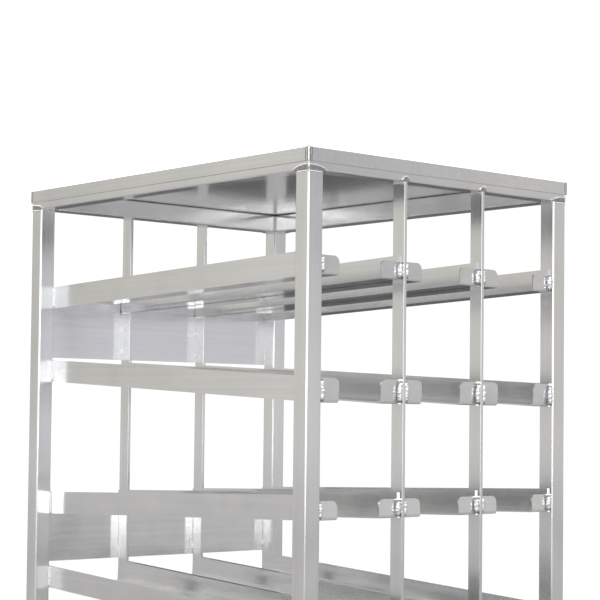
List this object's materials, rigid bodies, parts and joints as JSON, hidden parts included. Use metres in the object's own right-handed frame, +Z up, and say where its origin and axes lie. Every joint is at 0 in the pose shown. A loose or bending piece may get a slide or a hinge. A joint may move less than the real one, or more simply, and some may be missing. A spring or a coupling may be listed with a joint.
{
  "type": "mobile can storage rack",
  "caption": "Welded aluminium first-in-first-out can rack with sloping tracks, front can stops, a solid worktop and swivel casters.",
  "frame": {"origin": "on the floor under the middle of the rack", "axes": "+Z up, -Y the loading front with the can stops, +Y the back, +X the right side seen from the front"},
  "size_m": [0.679, 0.895, 1.06],
  "materials": {
    "sheet": "satin mill-finish sheet",
    "tube": "satin mill-finish extrusion",
    "flat_bar": "satin mill-finish flat bar",
    "rail": "satin mill-finish angle",
    "zinc_steel": "bright zinc plated pressings",
    "wheel_core": "moulded core",
    "wheel_tread": "soft grey-black tread"
  },
  "bodies": {
    "rack": {"worktop": "sheet", "top_frame_left": "tube", "top_frame_right": "tube", "top_frame_front": "tube", "top_frame_back": "tube", "post_front_left": "tube", "post_front_right": "tube", "upright_front_1": "flat_bar", "upright_front_2": "flat_bar", "post_back_left": "tube", "post_back_right": "tube", "upright_back_1": "flat_bar", "upright_back_2": "flat_bar", "base_tube_left": "tube", "base_tube_right": "tube", "base_tube_front": "tube", "base_tube_back": "tube", "track_1_rail_left": "rail", "track_1_rail_right": "rail", "track_1_rails_divider_1": "rail", "track_1_rails_divider_2": "rail", "track_2_rail_left": "rail", "track_2_rail_right": "rail", "track_2_rails_divider_1": "rail", "track_2_rails_divider_2": "rail", "track_3_rail_left": "rail", "track_3_rail_right": "rail", "track_3_rails_divider_1": "rail", "track_3_rails_divider_2": "rail", "track_4_rail_left": "rail", "track_4_rail_right": "rail", "track_4_rails_divider_1": "rail", "track_4_rails_divider_2": "rail", "back_plate_1": "sheet", "back_plate_2": "sheet", "caster_mounting_plates": "tube", "caster_bolts": "zinc_steel", "caster_front_left_plate": "zinc_steel", "caster_front_right_plate": "zinc_steel", "caster_back_left_plate": "zinc_steel", "caster_back_right_plate": "zinc_steel"},
    "front_left_swivel": {"caster_front_left_fork": "zinc_steel", "caster_front_left_axle": "zinc_steel"},
    "front_left_wheel": {"caster_front_left_hub": "wheel_core", "caster_front_left_tyre": "wheel_tread"},
    "front_left_brake": {"caster_front_left_brake_pedal": "zinc_steel"},
    "front_right_swivel": {"caster_front_right_fork": "zinc_steel", "caster_front_right_axle": "zinc_steel"},
    "front_right_wheel": {"caster_front_right_hub": "wheel_core", "caster_front_right_tyre": "wheel_tread"},
    "front_right_brake": {"caster_front_right_brake_pedal": "zinc_steel"},
    "back_left_swivel": {"caster_back_left_fork": "zinc_steel", "caster_back_left_axle": "zinc_steel"},
    "back_left_wheel": {"caster_back_left_hub": "wheel_core", "caster_back_left_tyre": "wheel_tread"},
    "back_right_swivel": {"caster_back_right_fork": "zinc_steel", "caster_back_right_axle": "zinc_steel"},
    "back_right_wheel": {"caster_back_right_hub": "wheel_core", "caster_back_right_tyre": "wheel_tread"}
  },
  "joints": [
    {"name": "front_left_swivel_turn", "type": "hinge", "parent": "rack", "child": "front_left_swivel", "pos_m": [-0.2785, -0.3865, 0.139], "axis": [0, 0, 1], "continuous": true},
    {"name": "front_left_wheel_spin", "type": "hinge", "parent": "front_left_swivel", "child": "front_left_wheel", "pos_m": [-0.2785, -0.3515, 0.0625], "axis": [1, 0, 0], "continuous": true},
    {"name": "front_left_brake_press", "type": "hinge", "parent": "front_left_swivel", "child": "front_left_brake", "pos_m": [-0.2785, -0.3105, 0.121], "axis": [1, 0, 0], "range_deg": [-25, 0]},
    {"name": "front_right_swivel_turn", "type": "hinge", "parent": "rack", "child": "front_right_swivel", "pos_m": [0.2785, -0.3865, 0.139], "axis": [0, 0, 1], "continuous": true},
    {"name": "front_right_wheel_spin", "type": "hinge", "parent": "front_right_swivel", "child": "front_right_wheel", "pos_m": [0.2785, -0.3515, 0.0625], "axis": [1, 0, 0], "continuous": true},
    {"name": "front_right_brake_press", "type": "hinge", "parent": "front_right_swivel", "child": "front_right_brake", "pos_m": [0.2785, -0.3105, 0.121], "axis": [1, 0, 0], "range_deg": [-25, 0]},
    {"name": "back_left_swivel_turn", "type": "hinge", "parent": "rack", "child": "back_left_swivel", "pos_m": [-0.2785, 0.3865, 0.139], "axis": [0, 0, 1], "continuous": true},
    {"name": "back_left_wheel_spin", "type": "hinge", "parent": "back_left_swivel", "child": "back_left_wheel", "pos_m": [-0.2785, 0.3515, 0.0625], "axis": [1, 0, 0], "continuous": true},
    {"name": "back_right_swivel_turn", "type": "hinge", "parent": "rack", "child": "back_right_swivel", "pos_m": [0.2785, 0.3865, 0.139], "axis": [0, 0, 1], "continuous": true},
    {"name": "back_right_wheel_spin", "type": "hinge", "parent": "back_right_swivel", "child": "back_right_wheel", "pos_m": [0.2785, 0.3515, 0.0625], "axis": [1, 0, 0], "continuous": true}
  ]
}
